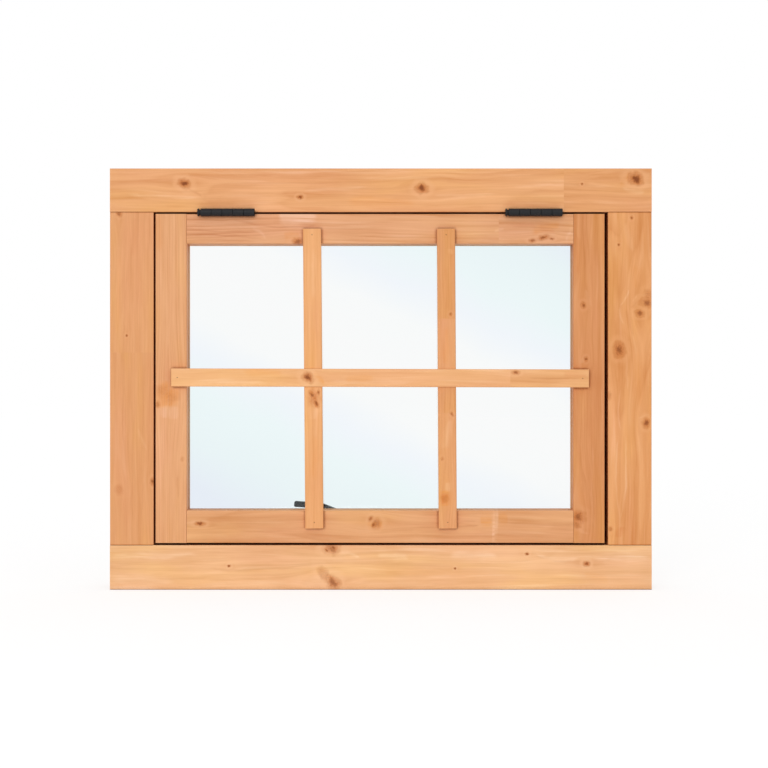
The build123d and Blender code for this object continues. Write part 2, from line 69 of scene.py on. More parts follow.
def vectorOf(tree, operation, *values):
    new = addNode(tree, "ShaderNodeVectorMath", operation=operation)
    for slot, value in enumerate(values):
        feed(tree, new.inputs[slot], value)
    return new.outputs["Value" if operation in ("LENGTH", "DOT_PRODUCT") else "Vector"]


def scaled(tree, vector, factor):
    new = addNode(tree, "ShaderNodeVectorMath", operation="SCALE")
    feed(tree, new.inputs[0], vector)
    feed(tree, new.inputs["Scale"], factor)
    return new.outputs["Vector"]


def noiseOf(tree, vector, stretch, detail=2.0, roughness=0.5, output="Fac"):
    placed = addNode(tree, "ShaderNodeMapping", {"Vector": vector, "Scale": stretch})
    cloud = addNode(tree, "ShaderNodeTexNoise", {
        "Vector": placed.outputs[0], "Scale": 1.0, "Detail": detail, "Roughness": roughness,
    })
    return cloud.outputs[output]


# a smooth step from low to high as a value goes from start to end
def stepOf(tree, value, start, end, low=0.0, high=1.0):
    new = addNode(tree, "ShaderNodeMapRange", {
        "Value": value, "From Min": start, "From Max": end, "To Min": low, "To Max": high,
    }, interpolation_type="SMOOTHSTEP")
    return new.outputs[0]


def mixOf(tree, factor, first, second, blend="MIX"):
    new = addNode(tree, "ShaderNodeMix", data_type="RGBA", blend_type=blend)
    feed(tree, new.inputs[0], factor)
    feed(tree, new.inputs[6], first)
    feed(tree, new.inputs[7], second)
    return new.outputs[2]


# a colour ramp from pairs of place and tone, a tone being one grey or three channels
def rampOf(tree, factor, stops):
    new = addNode(tree, "ShaderNodeValToRGB", {"Fac": factor})
    ramp = new.color_ramp
    while len(ramp.elements) < len(stops):
        ramp.elements.new(0.5)
    for element, (place, tone) in zip(ramp.elements, stops):
        element.position = place
        channels = (tone,) * 3 if isinstance(tone, float) else tone
        element.color = (*channels, 1.0)
    return new.outputs[0]


def newMaterial(name):
    material = bpy.data.materials.new(name)
    material.use_nodes = True
    tree = material.node_tree
    tree.nodes.clear()
    output = addNode(tree, "ShaderNodeOutputMaterial")
    return material, tree, output


def dress(nodeName, material):
    mesh = nodes[nodeName].data
    if not mesh.materials:
        mesh.materials.append(material)
    for slot in nodes[nodeName].material_slots:
        slot.material = material


# an empty node group, with its inputs and outputs as pairs of name and kind
def openGroup(name, inputs, outputs):
    tree = bpy.data.node_groups.new(name, "ShaderNodeTree")
    for way, sockets in (("INPUT", inputs), ("OUTPUT", outputs)):
        for socket, kind in sockets:
            tree.interface.new_socket(socket, in_out=way, socket_type="NodeSocket" + kind)
    return tree, addNode(tree, "NodeGroupInput"), addNode(tree, "NodeGroupOutput")


# a bell curve of a distance, 1 at nothing
def bellOf(tree, value):
    return mathOf(tree, "EXPONENT", mathOf(tree, "MULTIPLY", mathOf(tree, "MULTIPLY", value, value), -1.0))


# How every knot is drawn. A mask fades between two distances from the knot's middle, in radii.
knotForm = {
    "uphill": 0.22,
    "thinnest": 0.6,
    "thinDepth": 0.09,
    "raggedGrain": 0.7,
    "raggedReach": 1.5,
    "pushShape": (0.34, 0.0, 1.0),
    "pushFade": 0.42,
    "heart": (1.2, 0.5),
    "core": (0.68, 0.2),
    "ring": ((1.36, 1.08), (0.8, 1.04)),
    "halo": ((2.5, 1.6), (1.15, 1.5)),
    "tailShape": (0.26, 0.0, 0.95),
    "tailGrain": (30.0, 20.0, 420.0),
    "tailSteps": (0.3, 0.7, 0.35, 1.0),
}


# one knot: how far it pushes the grain aside, and masks of its heart, core, ring, halo and stain
def makeKnotGroup():
    form = knotForm
    tree, given, result = openGroup(
        "knot",
        (("Vector", "Vector"), ("Centre", "Vector"), ("Radius", "Float"), ("Stretch", "Float"),
         ("Lean", "Float"), ("Swirl", "Float")),
        (("Shift", "Vector"), ("Heart", "Float"), ("Core", "Float"), ("Ring", "Float"),
         ("Halo", "Float"), ("Stain", "Float")),
    )
    centre = given.outputs["Centre"]
    radius = given.outputs["Radius"]
    away = vectorOf(tree, "SUBTRACT", given.outputs["Vector"], centre)
    parts = addNode(tree, "ShaderNodeSeparateXYZ", {"Vector": away})
    # the branch runs a little uphill and thins towards the pith
    lean = mathOf(tree, "MULTIPLY", parts.outputs["Y"], form["uphill"])
    alongIt = mathOf(tree, "SUBTRACT", parts.outputs["X"], lean)
    thinning = stepOf(tree, parts.outputs["Y"], 0.0, form["thinDepth"], 1.0, form["thinnest"])
    radius = mathOf(tree, "MULTIPLY", radius, thinning)
    flat = addNode(tree, "ShaderNodeCombineXYZ", {
        "X": alongIt, "Y": 0.0, "Z": parts.outputs["Z"],
    }).outputs[0]
    grain = mathOf(tree, "DIVIDE", form["raggedGrain"], radius)
    ragged = addNode(tree, "ShaderNodeTexNoise", {
        "Vector": given.outputs["Vector"], "Scale": grain, "Detail": 3.0, "Roughness": 0.6,
    }).outputs["Color"]
    raggedReach = mathOf(tree, "MULTIPLY", radius, form["raggedReach"])
    ragged = scaled(tree, vectorOf(tree, "SUBTRACT", ragged, (0.5, 0.5, 0.5)), raggedReach)
    turned = addNode(tree, "ShaderNodeVectorRotate", {
        "Vector": vectorOf(tree, "ADD", flat, ragged), "Angle": given.outputs["Lean"],
    }, rotation_type="Y_AXIS")
    turned = addNode(tree, "ShaderNodeSeparateXYZ", {"Vector": turned.outputs[0]})
    longWay = mathOf(tree, "DIVIDE", turned.outputs["X"], given.outputs["Stretch"])
    squared = mathOf(tree, "ADD", mathOf(tree, "MULTIPLY", longWay, longWay),
                     mathOf(tree, "MULTIPLY", turned.outputs["Z"], turned.outputs["Z"]))
    distance = mathOf(tree, "DIVIDE", mathOf(tree, "SQRT", squared), radius)
    long = vectorOf(tree, "MULTIPLY", flat, form["pushShape"])
    reach = mathOf(tree, "DIVIDE", vectorOf(tree, "LENGTH", long), radius)
    push = bellOf(tree, mathOf(tree, "MULTIPLY", reach, form["pushFade"]))
    push = mathOf(tree, "MULTIPLY", push, given.outputs["Swirl"])
    aside = vectorOf(tree, "MULTIPLY", away, (0.0, 0.0, -1.0))
    feed(tree, result.inputs["Shift"], scaled(tree, aside, push))
    feed(tree, result.inputs["Heart"], stepOf(tree, distance, *form["heart"]))
    feed(tree, result.inputs["Core"], stepOf(tree, distance, *form["core"]))
    for mask in ("Ring", "Halo"):
        outside, inside = form[mask.lower()]
        band = mathOf(tree, "MULTIPLY", stepOf(tree, distance, *outside), stepOf(tree, distance, *inside))
        feed(tree, result.inputs[mask], band)
    streaky = noiseOf(tree, given.outputs["Vector"], form["tailGrain"], 2.0, 0.55)
    tail = vectorOf(tree, "MULTIPLY", flat, form["tailShape"])
    tail = bellOf(tree, mathOf(tree, "DIVIDE", vectorOf(tree, "LENGTH", tail), radius))
    stain = mathOf(tree, "MULTIPLY", tail, stepOf(tree, streaky, *form["tailSteps"]))
    feed(tree, result.inputs["Stain"], stain)
    return tree


# How every streak is drawn: its taper, how far it wavers in metres, and the fibres that break it up.
streakForm = {
    "taper": 0.6,
    "thinnest": 0.3,
    "waver": (24.0, 24.0, 50.0),
    "waverWidths": 1.6,
    "waverLeast": 0.006,
    "fibre": (9.0, 40.0, 330.0),
    "fibreSteps": (0.3, 0.62, 0.3, 1.0),
    "fade": 0.55,
}


# one streak along the grain, from start to end, with a bow to one side and soft edges
def makeStreakGroup():
    form = streakForm
    tree, given, result = openGroup(
        "streak",
        (("Vector", "Vector"), ("Start", "Float"), ("End", "Float"), ("From", "Float"), ("To", "Float"),
         ("Bow", "Float"), ("Width", "Float")),
        (("Mask", "Float"),),
    )
    parts = addNode(tree, "ShaderNodeSeparateXYZ", {"Vector": given.outputs["Vector"]})
    way = addNode(tree, "ShaderNodeMapRange", {
        "Value": parts.outputs["X"], "From Min": given.outputs["Start"], "From Max": given.outputs["End"],
    }).outputs[0]
    # nothing at both ends and 1 half way
    left = mathOf(tree, "SUBTRACT", 1.0, way)
    hump = mathOf(tree, "MULTIPLY", mathOf(tree, "MULTIPLY", way, left), 4.0)
    line = addNode(tree, "ShaderNodeMapRange", {
        "Value": way, "To Min": given.outputs["From"], "To Max": given.outputs["To"],
    }).outputs[0]
    line = mathOf(tree, "ADD", line, mathOf(tree, "MULTIPLY", hump, given.outputs["Bow"]))
    waver = noiseOf(tree, given.outputs["Vector"], form["waver"], 2.0, 0.6)
    swing = mathOf(tree, "MULTIPLY", given.outputs["Width"], form["waverWidths"])
    swing = mathOf(tree, "ADD", swing, form["waverLeast"])
    waver = mathOf(tree, "MULTIPLY", mathOf(tree, "SUBTRACT", waver, 0.5), swing)
    offset = mathOf(tree, "SUBTRACT", mathOf(tree, "ADD", parts.outputs["Z"], waver), line)
    taper = mathOf(tree, "MULTIPLY", mathOf(tree, "POWER", hump, form["taper"]), 1.0 - form["thinnest"])
    taper = mathOf(tree, "ADD", taper, form["thinnest"])
    broad = mathOf(tree, "MULTIPLY", given.outputs["Width"], taper)
    across = bellOf(tree, mathOf(tree, "DIVIDE", offset, broad))
    broken = noiseOf(tree, given.outputs["Vector"], form["fibre"], 3.0, 0.6)
    across = mathOf(tree, "MULTIPLY", across, stepOf(tree, broken, *form["fibreSteps"]))
    mask = mathOf(tree, "MULTIPLY", across, stepOf(tree, hump, 0.0, form["fade"]))
    feed(tree, result.inputs["Mask"], mask)
    return tree


knotGroup = makeKnotGroup()
streakGroup = makeStreakGroup()

# The stain, finish and painted shade that all members share. Offsets are screen steps from a member's own
# colour, a reach is in millimetres, and a mask fades between the two values of a pair.
timberFinish = {
    "bump": 0.16,
    "bumpDistance": 0.0005,
    "roughness": (0.46, 0.62),
    "roughFibre": (0.3, 0.7),
    "ringRelief": 0.5,
    "fineRelief": 0.5,
    "specular": 0.28,
    "light": (9, 13, 15),
    "dark": (-17, -21, -23),
    "pale": (8, 15, 21),
    "yellow": (1, 2, -5),
    "pink": (0, -2, 1),
    "streaks": {
        "pale": (11, 20, 28), "deep": (-18, -24, -24), "warm": (0, -9, -22), "red": (-11, -25, -26),
    },
    "knotHeart": ((210, 126, 62), (166, 86, 32)),
    "knotCore": (134, 66, 18),
    "knotStain": (216, 136, 72),
    "knotAmount": {"Stain": 0.45, "Halo": 0.36, "Ring": 0.14, "Heart": 0.8, "Core": 0.94},
    # end grain darker, partly from more stain and partly as painted shade at the members' ends
    "endStainAndShade": (0.68, 0.55, 0.46, 1.0),
    "endFacing": (0.5, 0.72),
    "skySamples": 4,
    # painted shade along the feet of the sash's bars, from how open the sash's face lies
    "barShadeReach": 5.0,
    "barShadeOpen": (0.93, 0.55),
    "barShadeFacing": (-0.6, -0.9),
    "barFootShade": (-70, -66, -54),
    # painted shade deep in the frame's gap round the sash, from how narrow the gap is
    "gapShadeReach": 14.0,
    "gapShadeOpen": (0.46, 0.16),
    "gapShadeTone": (124, 46, 8),
    "seam": 1.6,
    "seamWidth": 1.1,
}

# The figure that all members share. A pattern is its repeats a metre along, through and across, its
# detail and its roughness; steps are where it starts and ends, and what it goes from and to.
timberFigure = {
    "seedStep": (3.7, 1.9, 2.3),
    "jointShift": (0.0, 0.31, 0.53),
    "wander": ((2.2, 9.0, 9.0), 1.5, 0.45),
    "ripple": ((11.0, 45.0, 45.0), 2.0, 0.5),
    "rippleShare": 0.16,
    "unevenScale": 0.37,
    "uneven": 2.2,
    "year": ((0.0, 0.35), (0.1, 0.0), (0.45, 0.12), (0.82, 0.75), (0.93, 1.0), (1.0, 0.35)),
    "fibre": ((14.0, 420.0, 420.0), 3.0, 0.6),
    "fibreShare": 0.7,
    "fine": ((60.0, 1900.0, 1900.0), 2.0, 0.6),
    "band": ((2.6, 70.0, 95.0), 2.0, 0.55),
    "weight": ((5.0, 28.0, 28.0), 1.0),
    "weightSteps": (0.32, 0.68, 0.25, 1.0),
    "drift": ((7.0, 11.0, 11.0), 2.0, 0.5),
    "hue": ((4.5, 26.0, 26.0), 2.0, 0.5),
    "hueSteps": {"yellow": (0.5, 0.3), "pink": (0.5, 0.7)},
    "feather": ((6.5, 60.0, 130.0), 2.0, 0.5),
    "featherSteps": (0.55, 0.72),
    "mottle": ((420.0, 90.0, 520.0), 2.0, 0.6),
    "mottleSteps": (0.35, 0.65),
    "level": 0.36,
    "swirl": 0.75,
}


# a member's own colour moved by an offset
def shade(base, offset):
    return screenColour(*[min(255, max(0, channel + step)) for channel, step in zip(base, offset)])


# the same offset laid over a figure that is already there
def glaze(tree, colour, mask, base, offset):
    ratio = [moved / own for moved, own in zip(shade(base, offset), screenColour(*base))]
    return mixOf(tree, mask, colour, ratio, "MULTIPLY")


# how open a place lies, 1 where nothing stands within the reach, in millimetres
def skyOver(tree, reach):
    return addNode(tree, "ShaderNodeAmbientOcclusion", {
        "Distance": reach * mm,
    }, samples=timberFinish["skySamples"]).outputs["AO"]


# stained softwood sawn from a log: rings round a pith that lies along the member
def timberMaterial(name, look):
    finish, figure = timberFinish, timberFigure
    base = look["base"]
    material, tree, output = newMaterial("timber_" + name)
    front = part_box(name)[0].y
    coords = addNode(tree, "ShaderNodeTexCoord")
    upright = look["along"] == "Z"
    turn = (0.0, math.radians(90), 0.0) if upright else (0.0, 0.0, 0.0)
    local = addNode(tree, "ShaderNodeMapping", {
        "Vector": coords.outputs["Object"], "Rotation": turn, "Location": (0.0, -front, 0.0),
    }).outputs[0]

    # a place on the face, in millimetres right and up, as along and across the member
    def onFace(x, z):
        return (z * mm, -x * mm) if upright else (x * mm, z * mm)

    seed = [look["seed"] * step for step in figure["seedStep"]]
    moved = vectorOf(tree, "ADD", local, seed)

    # lengths joined end to end: the figure starts anew at each joint
    alongIt = addNode(tree, "ShaderNodeSeparateXYZ", {"Vector": local}).outputs["X"]
    lengthTone = 0.0
    for place, tone in look.get("lengths", ()):
        beyond = mathOf(tree, "GREATER_THAN", alongIt, place * mm)
        moved = vectorOf(tree, "ADD", moved, scaled(tree, figure["jointShift"], beyond))
        lengthTone = mathOf(tree, "ADD", lengthTone, mathOf(tree, "MULTIPLY", beyond, tone))

    # slow wander of the grain
    bent = local
    for pattern, reach in (("wander", look["wave"]), ("ripple", look["wave"] * figure["rippleShare"])):
        aside = noiseOf(tree, moved, *figure[pattern], "Color")
        aside = vectorOf(tree, "SUBTRACT", aside, (0.5, 0.5, 0.5))
        bent = vectorOf(tree, "ADD", bent, scaled(tree, aside, reach))

    # knots push the grain aside
    masks = {}
    for x, z, radius, stretch, lean, strength in look["knots"]:
        alongKnot, acrossKnot = onFace(x, z)
        knot = addNode(tree, "ShaderNodeGroup", {}, node_tree=knotGroup)
        feed(tree, knot.inputs["Vector"], local)
        knot.inputs["Centre"].default_value = (alongKnot, 0.0, acrossKnot)
        knot.inputs["Radius"].default_value = radius * mm
        knot.inputs["Stretch"].default_value = stretch
        knot.inputs["Lean"].default_value = math.radians(lean)
        knot.inputs["Swirl"].default_value = look.get("swirl", figure["swirl"])
        bent = vectorOf(tree, "ADD", bent, knot.outputs["Shift"])
        for mask in finish["knotAmount"]:
            # only a dark knot has a dark core
            share = max(0.0, strength * 2 - 1) if mask == "Core" else strength
            seen = mathOf(tree, "MULTIPLY", knot.outputs[mask], share)
            masks[mask] = mathOf(tree, "MAXIMUM", masks[mask], seen) if mask in masks else seen

    # growth rings
    depth, across = look["pith"]
    pith = (0.0, depth * mm, -across * mm if upright else across * mm)
    tilt = tuple(math.radians(angle) for angle in (0.0, look["tilt"][0], look["tilt"][1]))
    rounded = addNode(tree, "ShaderNodeMapping", {
        "Vector": vectorOf(tree, "SUBTRACT", bent, pith), "Rotation": tilt,
    }).outputs[0]
    ring = vectorOf(tree, "LENGTH", vectorOf(tree, "MULTIPLY", rounded, (0.0, 1.0, 1.0)))
    ring = mathOf(tree, "DIVIDE", ring, look["pitch"] * mm)
    uneven = addNode(tree, "ShaderNodeTexNoise", {
        "W": ring, "Scale": figure["unevenScale"], "Detail": 1.0,
    }, noise_dimensions="1D").outputs["Fac"]
    ring = mathOf(tree, "ADD", ring, mathOf(tree, "MULTIPLY", uneven, figure["uneven"]))
    late = rampOf(tree, mathOf(tree, "FRACT", ring), figure["year"])

    # fibres, bands and slow colour
    fibre = noiseOf(tree, bent, *figure["fibre"])
    fine = noiseOf(tree, bent, *figure["fine"])
    weight = stepOf(tree, noiseOf(tree, moved, *figure["weight"]), *figure["weightSteps"])
    tone = mathOf(tree, "MULTIPLY", mathOf(tree, "MULTIPLY", late, weight), look["contrast"])
    for pattern, share in (
        (fibre, figure["fibreShare"]),
        (noiseOf(tree, bent, *figure["band"]), look["bands"]),
        (noiseOf(tree, moved, *figure["drift"]), look["drift"]),
    ):
        swing = mathOf(tree, "MULTIPLY", mathOf(tree, "SUBTRACT", pattern, 0.5), share)
        tone = mathOf(tree, "ADD", tone, swing)
    tone = mathOf(tree, "ADD", tone, lengthTone)
    tone = mathOf(tree, "ADD", tone, figure["level"], clamp=True)
    colour = mixOf(tree, tone, shade(base, finish["light"]), shade(base, finish["dark"]))
    hue = noiseOf(tree, moved, *figure["hue"])
    for tint, steps in figure["hueSteps"].items():
        colour = glaze(tree, colour, stepOf(tree, hue, *steps), base, finish[tint])
    feather = noiseOf(tree, bent, *figure["feather"])
    feather = stepOf(tree, feather, *figure["featherSteps"], 0.0, look["feather"])
    colour = glaze(tree, colour, feather, base, finish["pale"])

    # streaks and stains that this member shows
    for kind, begin, end, amount, width, bow in look.get("streaks", ()):
        first, last = onFace(*begin), onFace(*end)
        streak = addNode(tree, "ShaderNodeGroup", {}, node_tree=streakGroup)
        feed(tree, streak.inputs["Vector"], local)
        for socket, value in (("Start", first[0]), ("End", last[0]), ("From", first[1]), ("To", last[1]),
                              ("Bow", bow * mm), ("Width", width * mm)):
            streak.inputs[socket].default_value = value
        seen = mathOf(tree, "MULTIPLY", streak.outputs["Mask"], amount)
        colour = glaze(tree, colour, seen, base, finish["streaks"][kind])

    # stain gathers where a shoulder meets the next member
    for place in look.get("seams", ()):
        off = mathOf(tree, "SUBTRACT", alongIt, place * mm)
        off = mathOf(tree, "DIVIDE", off, finish["seamWidth"] * mm)
        seam = mathOf(tree, "MULTIPLY", bellOf(tree, off), finish["seam"])
        colour = glaze(tree, colour, seam, base, finish["streaks"]["deep"])

    if masks:
        soft, hard = [screenColour(*tint) for tint in finish["knotHeart"]]
        mottle = stepOf(tree, noiseOf(tree, local, *figure["mottle"]), *figure["mottleSteps"])
        knotColours = {
            "Stain": screenColour(*finish["knotStain"]), "Halo": shade(base, finish["pale"]),
            "Ring": hard, "Heart": mixOf(tree, mottle, soft, hard),
            "Core": screenColour(*finish["knotCore"]),
        }
        for mask, amount in finish["knotAmount"].items():
            colour = mixOf(tree, mathOf(tree, "MULTIPLY", masks[mask], amount), colour, knotColours[mask])

    facing = addNode(tree, "ShaderNodeSeparateXYZ", {"Vector": coords.outputs["Normal"]})

    # painted shade: darker along the feet of the sash's bars, where the bars shade the sash's face, and
    # dark brown deep in the frame's gap, where little light gets in
    if name.startswith("sash"):
        openSky = skyOver(tree, finish["barShadeReach"])
        barFootShade = stepOf(tree, openSky, *finish["barShadeOpen"])
        outward = stepOf(tree, facing.outputs["Y"], *finish["barShadeFacing"])
        barFootShade = mathOf(tree, "MULTIPLY", barFootShade, outward)
        colour = glaze(tree, colour, barFootShade, base, finish["barFootShade"])
    # painted shade: the frame goes dark brown where the gap round the sash closes it in
    if name.startswith("frame"):
        openSky = skyOver(tree, finish["gapShadeReach"])
        paintedGapShade = stepOf(tree, openSky, *finish["gapShadeOpen"])
        colour = mixOf(tree, paintedGapShade, colour, screenColour(*finish["gapShadeTone"]))

    # the ends of the fibres drink more stain; the darkening is also painted shade, made strong and reaching
    # the chamfers at the members' ends
    endWise = mathOf(tree, "ABSOLUTE", facing.outputs["Z" if upright else "X"])
    ends = stepOf(tree, endWise, *finish["endFacing"])
    endDarker = mixOf(tree, 1.0, colour, finish["endStainAndShade"], "MULTIPLY")
    colour = mixOf(tree, ends, colour, endDarker)

    ringRelief = mathOf(tree, "MULTIPLY", late, finish["ringRelief"])
    fineRelief = mathOf(tree, "MULTIPLY", fine, finish["fineRelief"])
    bump = addNode(tree, "ShaderNodeBump", {
        "Height": mathOf(tree, "ADD", ringRelief, fineRelief),
        "Strength": finish["bump"], "Distance": finish["bumpDistance"],
    })
    rough = stepOf(tree, fibre, *finish["roughFibre"], *finish["roughness"])
    surface = addNode(tree, "ShaderNodeBsdfPrincipled", {
        "Base Color": colour, "Roughness": rough, "Normal": bump.outputs[0],
        "Specular IOR Level": finish["specular"],
    })
    tree.links.new(surface.outputs[0], output.inputs[0])
    return material


def dressTimber(name, look):
    dress(name, timberMaterial(name, look))


# Outer frame. A knot is millimetres right of the middle and up from the underside, its radius, how
# much longer than wide, its lean in degrees and how dark; a streak is its kind, its two ends, how
# strong, its half width and its bow; the pith is millimetres behind the face and its place on it;
# a length is where it starts and how much darker it is than the one before.
headLook = {
    "along": "X", "seed": 1.0, "drift": 0.4, "base": (235, 168, 112), "pith": (95.0, 650.0),
    "tilt": (0.5, 1.1), "pitch": 6.4, "wave": 0.030, "contrast": 0.34, "bands": 1.5, "feather": 0.45,
    "lengths": ((304.0, 0.05),),
    "knots": [
        (-326.1, 674.7, 7.4, 1.35, -25, 1.0), (-134.2, 652.4, 3.6, 1.4, 0, 0.95),
        (68.4, 666.9, 8.0, 1.25, 0, 1.0), (334.2, 674.0, 2.2, 1.0, 0, 0.9),
        (423.1, 682.8, 9.2, 1.3, -20, 1.0),
    ],
    "streaks": [
        ("pale", (-425, 658), (-296, 652), 0.7, 2.4, -2), ("pale", (-130, 662), (-20, 668), 0.6, 2.6, 2),
        ("pale", (84, 656), (200, 658), 0.5, 2.2, -2), ("pale", (215, 668), (396, 670), 0.45, 2.6, 3),
        ("pale", (-290, 692), (70, 694), 0.4, 5.0, 0), ("warm", (-60, 646), (62, 642), 0.55, 9.0, 0),
        ("warm", (396, 672), (412, 690), 0.6, 7.0, 0), ("pale", (400, 668), (440, 662), 0.7, 4.0, -3),
        # the two red streaks 640 up, just over the hinges, are painted shade above the hinges
        ("red", (-312, 640), (-200, 640), 0.5, 7.0, 0), ("red", (196, 640), (310, 640), 0.5, 7.0, 0),
        ("deep", (-322, 668), (-296, 652), 0.6, 2.4, 1), ("deep", (120, 684), (330, 688), 0.25, 4.0, 2),
    ],
}
dressTimber("frame_head", headLook)

sillLook = {
    "along": "X", "seed": 2.0, "drift": 1.1, "base": (242, 186, 134), "pith": (80.0, 55.0),
    "tilt": (0.7, -1.0), "pitch": 7.0, "wave": 0.034, "contrast": 0.28, "bands": 1.2, "feather": 0.6,
    "knots": [
        (-81.1, 69.0, 10.0, 1.3, 0, 0.7), (-78.5, 70.0, 4.0, 1.3, 0, 0.9),
        (-90.0, 66.0, 2.6, 1.6, -40, 0.8), (-79.5, 12.0, 10.0, 1.2, -50, 0.8),
        (-95.0, 26.0, 8.0, 1.7, -55, 0.5), (-252.1, 39.5, 2.4, 1.2, 0, 1.0),
        (123.2, 35.4, 2.1, 1.0, 0, 1.0), (242.8, 59.5, 2.8, 1.2, 0, 1.0), (341.8, 43.4, 4.6, 1.2, 0, 0.9),
    ],
    "streaks": [
        ("pale", (-452, 55), (-300, 58), 0.75, 5.0, 1), ("pale", (-70, 62), (-34, 52), 0.7, 3.6, 3),
        ("pale", (-8, 57), (48, 54), 0.75, 5.0, 1), ("pale", (112, 58), (196, 56), 0.8, 6.0, 2),
        ("pale", (256, 60), (330, 52), 0.6, 4.0, -6), ("pale", (350, 50), (450, 52), 0.6, 6.0, 4),
        ("deep", (-300, 32), (-120, 34), 0.35, 2.0, 2), ("deep", (-60, 42), (60, 44), 0.35, 2.0, 3),
        ("deep", (256, 56), (338, 44), 0.5, 2.6, -2), ("warm", (-20, 32), (180, 26), 0.3, 8.0, 0),
        ("pale", (-450, 18), (-340, 14), 0.5, 7.0, 0), ("warm", (336, 30), (380, 14), 0.4, 7.0, 0),
        ("pale", (-320, 8), (120, 10), 0.3, 5.0, 0),
    ],
}
dressTimber("frame_sill", sillLook)

jambSeams = (74.4, 627.1)  # the heights of the jambs' shoulders

jambLeftLook = {
    "along": "Z", "seed": 3.0, "drift": 0.2, "base": (227, 159, 104), "pith": (30.0, -270.0),
    "tilt": (0.2, 0.4), "pitch": 3.6, "wave": 0.02, "contrast": 0.2, "bands": 0.7, "feather": 0.25,
    "lengths": ((394.0, -0.06),), "seams": jambSeams,
    "knots": [
        (-434.4, 624.7, 5.0, 1.0, 0, 0.7), (-422.2, 422.4, 2.0, 1.2, 0, 0.9),
        (-435.3, 166.0, 6.5, 1.3, 30, 0.32), (-379.5, 179.7, 3.6, 1.8, 0, 0.8),
    ],
    "streaks": [
        ("deep", (-427, 220), (-421, 560), 0.35, 1.6, 3), ("deep", (-412, 100), (-409, 300), 0.3, 1.5, 2),
        ("deep", (-398, 90), (-396, 360), 0.3, 1.4, -2), ("pale", (-402, 270), (-388, 230), 0.4, 2.4, 2),
        ("warm", (-437, 420), (-436, 570), 0.3, 4.0, 0), ("red", (-412, 550), (-410, 622), 0.18, 9.0, 0),
    ],
}
dressTimber("frame_jamb_left", jambLeftLook)

jambRightLook = {
    "along": "Z", "seed": 4.0, "drift": 1.0, "base": (232, 161, 101), "pith": (120.0, 400.0),
    "tilt": (0.5, 0.6), "pitch": 5.0, "wave": 0.026, "contrast": 0.36, "bands": 1.2, "feather": 0.45,
    "seams": jambSeams,
    "knots": [
        (416.6, 617.6, 2.6, 1.2, 0, 0.9), (395.3, 573.2, 2.4, 1.0, 0, 0.85),
        (441.0, 477.0, 11.0, 0.7, 0, 0.8), (431.0, 459.0, 8.4, 0.65, 0, 0.8),
        (444.0, 490.0, 7.0, 1.2, 20, 0.5), (396.2, 399.0, 9.2, 1.3, 0, 0.85),
        (440.8, 277.1, 6.6, 1.2, 0, 0.9), (379.5, 322.0, 3.6, 2.0, 0, 0.5),
        (381.5, 101.0, 3.4, 1.3, 0, 0.6),
    ],
    "streaks": [
        ("pale", (399, 336), (398, 262), 0.8, 1.3, 3), ("pale", (406, 262), (397, 112), 0.85, 1.5, -6),
        ("pale", (395, 262), (397, 112), 0.7, 1.2, 5), ("pale", (408, 392), (409, 330), 0.6, 1.8, 0),
        ("pale", (412, 500), (396, 470), 0.85, 1.8, -2), ("pale", (396, 470), (404, 440), 0.7, 1.6, 2),
        ("pale", (418, 478), (430, 492), 0.7, 2.0, 0), ("pale", (404, 612), (420, 560), 0.4, 5.0, 0),
        ("deep", (408, 468), (420, 420), 0.45, 3.0, 3), ("deep", (416, 466), (446, 492), 0.5, 3.0, 2),
        ("deep", (420, 462), (440, 456), 0.5, 3.0, 0), ("red", (394, 86), (404, 106), 0.5, 7.0, 2),
        ("warm", (424, 540), (424, 500), 0.3, 8.0, 0), ("red", (384, 500), (390, 560), 0.2, 7.0, 0),
        ("warm", (428, 400), (430, 300), 0.3, 7.0, 0), ("pale", (444, 292), (430, 284), 0.6, 3.0, 0),
    ],
}
dressTimber("frame_jamb_right", jambRightLook)
print("outer frame dressed")

# Sash
stileLeftLook = {
    "along": "Z", "seed": 5.0, "drift": 0.6, "base": (232, 168, 117), "pith": (10.0, -570.0),
    "tilt": (0.15, 0.2), "pitch": 3.4, "wave": 0.006, "contrast": 0.5, "bands": 0.5, "feather": 0.12,
    "swirl": 0.3,
    "knots": [
        (-330.0, 217.0, 3.0, 1.4, 0, 0.35), (-362.0, 330.0, 13.0, 0.8, 0, 0.3),
        (-347.0, 319.0, 12.0, 0.65, 25, 0.3), (-371.0, 308.0, 4.0, 1.4, 0, 0.6),
    ],
    "streaks": [
        ("warm", (-362, 300), (-356, 350), 1.3, 15.0, 0), ("warm", (-348, 302), (-344, 336), 1.2, 9.0, 0),
        ("pale", (-360, 284), (-356, 308), 0.7, 8.0, 0), ("pale", (-346, 282), (-342, 306), 0.6, 8.0, 0),
        ("warm", (-372, 560), (-370, 622), 0.5, 8.0, 0), ("deep", (-337, 150), (-337, 192), 0.6, 1.6, 0),
    ],
}
dressTimber("sash_stile_left", stileLeftLook)

stileRightLook = {
    "along": "Z", "seed": 6.0, "drift": 0.5, "base": (219, 146, 90), "pith": (90.0, 310.0),
    "tilt": (0.5, 0.8), "pitch": 4.6, "wave": 0.022, "contrast": 0.32, "bands": 1.1, "feather": 0.3,
    "knots": [
        (336.5, 473.1, 4.6, 1.2, 0, 0.85), (340.8, 383.4, 3.2, 1.4, 0, 0.85),
        (329.5, 121.0, 9.5, 1.2, 40, 0.8), (326.0, 107.0, 5.0, 1.4, 60, 0.6),
    ],
    "streaks": [
        ("pale", (344, 390), (334, 376), 0.5, 3.4, 2), ("pale", (340, 500), (348, 470), 0.4, 3.0, 0),
        ("pale", (352, 250), (354, 90), 0.35, 2.0, 2), ("red", (328, 520), (326, 596), 0.4, 4.0, 0),
        ("pale", (324, 104), (342, 92), 0.5, 5.0, 0), ("warm", (324, 150), (322, 110), 0.4, 5.0, 0),
    ],
}
dressTimber("sash_stile_right", stileRightLook)

